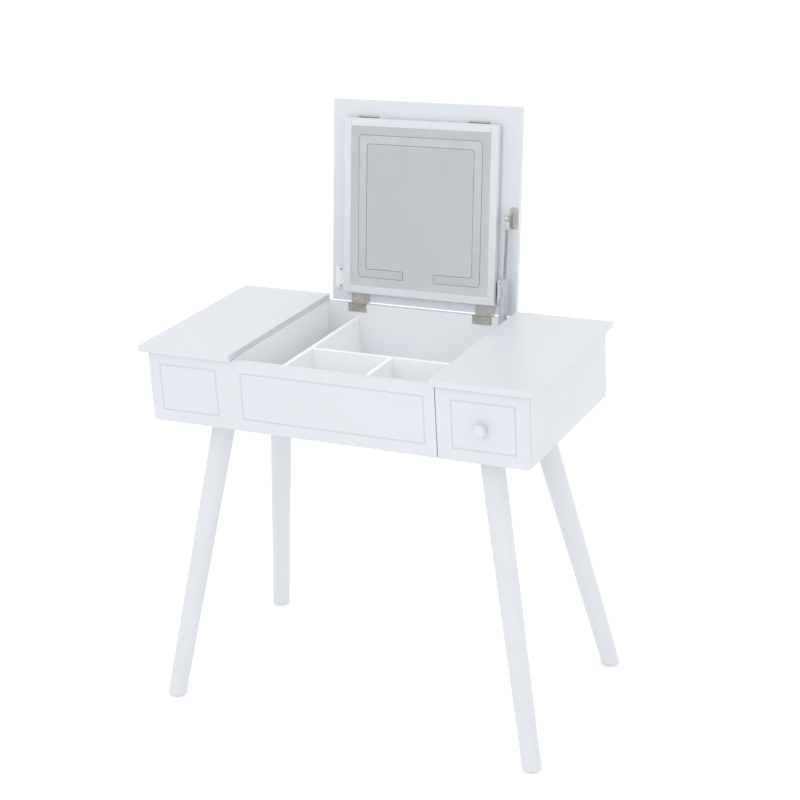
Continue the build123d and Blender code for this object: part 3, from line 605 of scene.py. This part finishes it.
class VANITY_OT_strut(bpy.types.Operator):
    """Finish the gas strut and its two brackets"""

    bl_idname = "vanity.strut"
    bl_label = "Gas Strut"

    def execute(self, context):
        s = context.scene.vanity_metals
        dress(painted_metal("strut_paint", s.strut, 0.32), "strut_tube")
        dress(plated("rod_chrome", s.rod, 0.14, (8.0, 8.0, 1.0)), "strut_rod")
        ends = plated("strut_nickel", s.steel, 0.36)
        dress(ends, "strut_tube_end_fitting", "strut_rod_end_fitting")
        nickel = plated("bracket_nickel", s.nickel, s.nickel_roughness)
        dress(nickel, "strut_case_bracket", "strut_lid_bracket")
        return {"FINISHED"}


class VANITY_OT_mirror_frame(bpy.types.Operator):
    """Lacquer the mirror's frame and colour the catches beside it"""

    bl_idname = "vanity.mirror_frame"
    bl_label = "Mirror Frame"

    def execute(self, context):
        s = context.scene
        boards = s.vanity_boards
        finish = (boards.lacquer_roughness, boards.edge_softness)
        paint = lacquer("frame_lacquer", boards.lacquer, *finish)
        dress(paint, "mirror_left_stile", "mirror_right_stile")
        dress(paint, "mirror_bottom_rail", "mirror_top_rail")
        dress(moulded("catch_plastic", s.vanity_plastics.catch, 0.42), "catch_bodies")
        return {"FINISHED"}


class VANITY_OT_mirror_glass(bpy.types.Operator):
    """Silver the glass, and lay the etched light band and the touch mark on it"""

    bl_idname = "vanity.mirror_glass"
    bl_label = "Mirror Glass"

    def execute(self, context):
        s = context.scene.vanity_mirror
        dress(silvered("mirror_glass", s.silver), "mirror_glass")
        frost = etched("band_frost", s.frost, 0.5, 0.15)
        edge = etched("band_edge", s.band_edge, 0.45, 0.3)
        face = closed_box("mirror_glass")[0].z
        x0 = closed_box("mirror_left_stile")[1].x + s.band_margin
        x1 = closed_box("mirror_right_stile")[0].x - s.band_margin
        opening_near = closed_box("mirror_bottom_rail")[0].y
        near = opening_near - s.band_margin
        far = closed_box("mirror_top_rail")[1].y + s.band_margin
        middle = (x0 + x1) / 2
        inner_radius = s.band_radius * 0.6
        layers = (
            ("mirror_band_border", s.border, s.etch * 0.5, edge),
            ("mirror_band", 0.0, s.etch, frost),
        )
        for name, grow, height, material in layers:
            gap = s.band_gap - 2 * grow
            inset = s.band_width + grow
            outer = band_outline(
                x0 - grow, x1 + grow, near + grow, far - grow, s.band_radius + grow, gap, middle
            )
            inner = band_outline(
                x0 + inset, x1 - inset, near - inset, far + inset, inner_radius, gap, middle
            )
            on_glass(name, inner, outer, face, height, material, "mirror_glass")
        self.touch_mark(s, middle, opening_near - s.mark_height, face, frost)
        return {"FINISHED"}

    def touch_mark(self, s, x, y, face, material):
        """A broken ring with a short bar in the break."""
        width = s.mark_radius * mark_line
        turns = [mark_start + mark_turn * step / mark_steps for step in range(mark_steps + 1)]
        angles = [math.radians(turn) for turn in turns]
        rings = []
        for radius in (s.mark_radius - width, s.mark_radius):
            rings.append([(x + radius * math.cos(a), y + radius * math.sin(a)) for a in angles])
        on_glass("touch_mark_ring", *rings, face, s.etch, material, "mirror_glass")
        half = width / 2
        top, bottom = y - s.mark_radius * mark_bar_top, y - s.mark_radius * mark_bar_bottom
        sides = [[(x + side * half, top), (x + side * half, bottom)] for side in (-1, 1)]
        on_glass("touch_mark_bar", *sides, face, s.etch, material, "mirror_glass")


class VANITY_OT_light(bpy.types.Operator):
    """Finish what is behind the glass: light guide, lamp strip, backing and circuit"""

    bl_idname = "vanity.light"
    bl_label = "Mirror Light"

    def execute(self, context):
        dress(moulded("light_guide_acrylic", (0.86, 0.9, 0.91), 0.12, 0.6), "light_guide")
        dress(lamps("lamp_strip", (0.86, 0.78, 0.5)), "led_strip")
        dress(bare_wood("backing_board", (0.40, 0.28, 0.18), (0.6, 1.0, 0.6)), "mirror_backing")
        dress(circuit("circuit_board", (0.05, 0.22, 0.12)), "touch_board")
        return {"FINISHED"}


class VANITY_OT_drawer(bpy.types.Operator):
    """Finish the drawer's box and paint its knob"""

    bl_idname = "vanity.drawer"
    bl_label = "Drawer"

    def execute(self, context):
        s = context.scene.vanity_boards
        board = foil("drawer_board", s.drawer_box)
        dress(board, "drawer_left_side", "drawer_right_side", "drawer_back", "drawer_bottom")
        dress(lacquer("knob_paint", s.lacquer, s.lacquer_roughness - 0.1, knob_softness), "knob")
        return {"FINISHED"}


class VANITY_OT_runners(bpy.types.Operator):
    """Coat the drawer's runners and colour their rollers"""

    bl_idname = "vanity.runners"
    bl_label = "Runners"

    def execute(self, context):
        s = context.scene
        enamel = painted_metal("runner_enamel", s.vanity_metals.enamel, 0.4)
        dress(enamel, "cabinet_runners", "drawer_runners")
        nylon = moulded("roller_nylon", s.vanity_plastics.nylon, 0.5)
        dress(nylon, "front_rollers", "rear_rollers")
        return {"FINISHED"}


class VANITY_OT_stage(bpy.types.Operator):
    """Set a pale floor that curves up behind, soft lamps and the camera"""

    bl_idname = "vanity.stage"
    bl_label = "Stage"

    def execute(self, context):
        s = context.scene.vanity_stage
        high = cad_bounds[1]
        self.sweep(s, high)
        self.card(s, high)
        self.lamp("key_lamp", s.key, 2.4, Vector((-0.2, -3.3, 2.5)), Vector((0, 0, 0.7)))
        self.lamp("fill_lamp", s.fill, 1.8, Vector((2.6, -0.6, 1.6)), Vector((0, 0, 0.5)))
        self.sky(context, s)
        self.camera(context, s)
        return {"FINISHED"}

    def plain(self, name, base):
        """A matt, barely uneven finish for the stage."""
        shader = Shader(name)
        shader.tint(base, shader.noise(1.5), 0.995, 1.005)
        shader.rough(shader.noise(4.0), 0.9, 0.04)
        return shader.material

    def sheet(self, name, points, x0, x1, material):
        """A sheet drawn out sideways along a line of points in Y and Z."""
        vertices = [(x, y, z) for y, z in points for x in (x0, x1)]
        faces = [(2 * i, 2 * i + 1, 2 * i + 3, 2 * i + 2) for i in range(len(points) - 1)]
        mesh = bpy.data.meshes.new(name)
        mesh.from_pydata(vertices, [], faces)
        mesh.shade_smooth()
        mesh.materials.append(material)
        piece = bpy.data.objects.new(name, mesh)
        bpy.context.scene.collection.objects.link(piece)

    def sweep(self, s, high):
        """The floor and the backdrop in one curve."""
        back = high.y + backdrop_distance
        bend = back - curve_radius
        line = [(floor_front, 0.0), (floor_front / 2, 0.0), (bend, 0.0)]
        for step in range(1, curve_steps + 1):
            angle = math.radians(90 * step / curve_steps)
            rise = curve_radius * (1 - math.cos(angle))
            line.append((bend + curve_radius * math.sin(angle), rise))
        line.append((back, backdrop_height))
        paper = self.plain("studio_paper", s.floor)
        lit = paper.node_tree.nodes["Principled BSDF"]
        lit.inputs["Emission Color"].default_value = (1.0, 1.0, 1.0, 1.0)
        lit.inputs["Emission Strength"].default_value = s.glow
        self.sheet("studio_sweep", line, -floor_half_width, floor_half_width, paper)

    def card(self, s, high):
        """A grey card in front, for the mirror to face."""
        x, y = card_place
        line = [(y, 0.0), (y, high.z * card_height_share)]
        paper = self.plain("card_paper", s.card)
        self.sheet("grey_card", line, x - card_half_width, x + card_half_width, paper)

    def lamp(self, name, power, size, place, target):
        """A square soft lamp that faces a target."""
        data = bpy.data.lights.new(name, "AREA")
        data.energy = power
        data.size = size
        lamp = bpy.data.objects.new(name, data)
        lamp.location = place
        lamp.rotation_euler = (target - place).to_track_quat("-Z", "Y").to_euler()
        bpy.context.scene.collection.objects.link(lamp)

    def sky(self, context, s):
        """Even light from all round."""
        world = bpy.data.worlds.new("studio_air")
        world.use_nodes = True
        background = world.node_tree.nodes["Background"]
        background.inputs["Color"].default_value = (0.99, 0.995, 1.0, 1.0)
        background.inputs["Strength"].default_value = s.sky
        context.scene.world = world
        context.scene.view_settings.view_transform = "Standard"

    def camera(self, context, s):
        """The camera at its place, turned a little about its own axis."""
        data = bpy.data.cameras.new("studio_camera")
        data.lens = s.lens
        data.sensor_width = 36.0
        camera = bpy.data.objects.new("studio_camera", data)
        eye, aim = Vector(s.eye), Vector(s.aim)
        back = (eye - aim).normalized()
        right = Vector((0, 0, 1)).cross(back).normalized()
        up = back.cross(right)
        turn = Matrix((right, up, back)).transposed() @ Matrix.Rotation(s.roll, 3, "Z")
        camera.matrix_world = Matrix.Translation(eye) @ turn.to_4x4()
        bpy.context.scene.collection.objects.link(camera)
        context.scene.camera = camera


# ---- Panel and registration --------------------------------------------------

operators = (
    VANITY_OT_boards,
    VANITY_OT_well,
    VANITY_OT_legs,
    VANITY_OT_leg_fittings,
    VANITY_OT_hinges,
    VANITY_OT_screws,
    VANITY_OT_strut,
    VANITY_OT_mirror_frame,
    VANITY_OT_mirror_glass,
    VANITY_OT_light,
    VANITY_OT_drawer,
    VANITY_OT_runners,
    VANITY_OT_stage,
)
groups = {
    "vanity_boards": BoardSettings,
    "vanity_metals": MetalSettings,
    "vanity_plastics": PlasticSettings,
    "vanity_mirror": MirrorSettings,
    "vanity_stage": StageSettings,
}


class VANITY_PT_panel(bpy.types.Panel):
    """Lists the settings and the steps."""

    bl_label = "Vanity Table"
    bl_idname = "VANITY_PT_panel"
    bl_space_type = "VIEW_3D"
    bl_region_type = "UI"
    bl_category = "Vanity Table"

    def draw(self, context):
        for name, group in groups.items():
            box = self.layout.box()
            box.label(text=group.__name__.removesuffix("Settings"))
            for setting in group.__annotations__:
                box.prop(getattr(context.scene, name), setting)
        column = self.layout.column(align=True)
        for operator in operators:
            column.operator(operator.bl_idname)


def register():
    for cls in (*groups.values(), *operators, VANITY_PT_panel):
        bpy.utils.register_class(cls)
    for name, group in groups.items():
        setattr(bpy.types.Scene, name, PointerProperty(type=group))


def unregister():
    for name in groups:
        delattr(bpy.types.Scene, name)
    for cls in reversed((*groups.values(), *operators, VANITY_PT_panel)):
        bpy.utils.unregister_class(cls)


def main():
    register()
    for operator in operators:
        step = operator.bl_idname.partition(".")[2]
        getattr(bpy.ops.vanity, step)()


if __name__ == "__main__":
    main()
